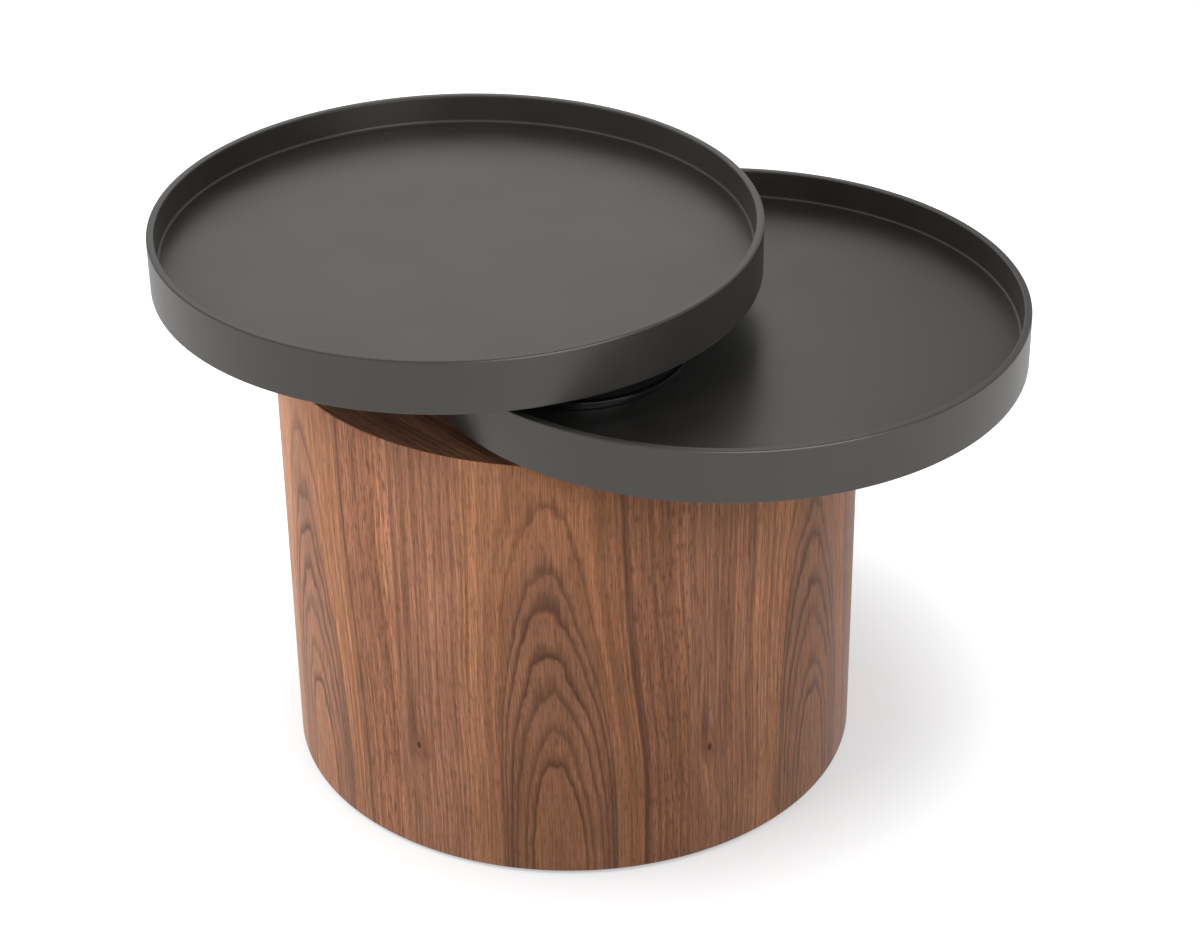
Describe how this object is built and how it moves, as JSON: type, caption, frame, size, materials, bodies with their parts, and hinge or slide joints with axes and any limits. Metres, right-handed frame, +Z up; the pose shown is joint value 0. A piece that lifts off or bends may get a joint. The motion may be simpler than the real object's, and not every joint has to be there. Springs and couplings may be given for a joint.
{
  "type": "swivel top end table",
  "caption": "Round end table: a hollow walnut-veneered drum carries stacked charcoal trays that swing out on one off-centre vertical pivot, on ring ball bearings.",
  "frame": {"origin": "on the floor, on the drum's axis, at the middle of the plinth's underside", "axes": "+Z up; -Y the front, where the pivot lies; +X to the right, the side to which the lower tray is swung"},
  "size_m": [0.7202, 0.5831, 0.517],
  "materials": {
    "walnut_veneer": "satin walnut veneer, grain upright on the side",
    "plywood": "bare plywood, hidden inside the drum",
    "black_board": "board painted black",
    "charcoal_lacquer": "matt charcoal lacquer on board and bent plywood",
    "black_steel": "glossy black coated steel",
    "cage_nylon": "moulded grey nylon",
    "zinc_steel": "bright zinc plate"
  },
  "bodies": {
    "drum": {"drum_shell": "walnut_veneer", "drum_top_panel": "walnut_veneer", "top_former": "plywood", "mid_former": "plywood", "bottom_former": "plywood", "lower_upright_1": "plywood", "lower_upright_2": "plywood", "lower_upright_3": "plywood", "lower_upright_4": "plywood", "upper_upright_1": "plywood", "upper_upright_2": "plywood", "upper_upright_3": "plywood", "upper_upright_4": "plywood", "base_plinth": "black_board", "plinth_screw_1": "zinc_steel", "plinth_screw_2": "zinc_steel", "plinth_screw_3": "zinc_steel", "plinth_screw_4": "zinc_steel", "lower_inner_ring": "black_steel", "lower_inner_screw_1": "zinc_steel", "lower_inner_screw_2": "zinc_steel", "lower_inner_screw_3": "zinc_steel", "lower_inner_screw_4": "zinc_steel"},
    "lower_cage": {"lower_ball_cage": "cage_nylon"},
    "lower_tray": {"lower_outer_ring": "black_steel", "lower_outer_screw_1": "zinc_steel", "lower_outer_screw_2": "zinc_steel", "lower_outer_screw_3": "zinc_steel", "lower_outer_screw_4": "zinc_steel", "lower_tray_floor": "charcoal_lacquer", "lower_tray_rim": "charcoal_lacquer", "upper_inner_ring": "black_steel", "upper_inner_screw_1": "zinc_steel", "upper_inner_screw_2": "zinc_steel", "upper_inner_screw_3": "zinc_steel", "upper_inner_screw_4": "zinc_steel"},
    "upper_cage": {"upper_ball_cage": "cage_nylon"},
    "upper_tray": {"upper_outer_ring": "black_steel", "upper_outer_screw_1": "zinc_steel", "upper_outer_screw_2": "zinc_steel", "upper_outer_screw_3": "zinc_steel", "upper_outer_screw_4": "zinc_steel", "spacer_block": "black_board", "spacer_screw_1": "zinc_steel", "spacer_screw_2": "zinc_steel", "spacer_screw_3": "zinc_steel", "spacer_screw_4": "zinc_steel", "upper_tray_floor": "charcoal_lacquer", "upper_tray_rim": "charcoal_lacquer"}
  },
  "joints": [
    {"name": "lower_tray_swivel", "type": "hinge", "parent": "drum", "child": "lower_tray", "pos_m": [0, -0.136, 0.4065], "axis": [0, 0, 1], "continuous": true},
    {"name": "upper_tray_swivel", "type": "hinge", "parent": "lower_tray", "child": "upper_tray", "pos_m": [0, -0.136, 0.4395], "axis": [0, 0, 1], "continuous": true},
    {"name": "lower_cage_roll", "type": "hinge", "parent": "drum", "child": "lower_cage", "pos_m": [0, -0.136, 0.4065], "axis": [0, 0, 1], "continuous": true},
    {"name": "upper_cage_roll", "type": "hinge", "parent": "lower_tray", "child": "upper_cage", "pos_m": [0, -0.136, 0.4395], "axis": [0, 0, 1], "continuous": true}
  ],
  "couplings": [
    {"joint": "lower_cage_roll", "follows": "lower_tray_swivel", "ratio": 0.512},
    {"joint": "upper_cage_roll", "follows": "upper_tray_swivel", "ratio": 0.512}
  ]
}
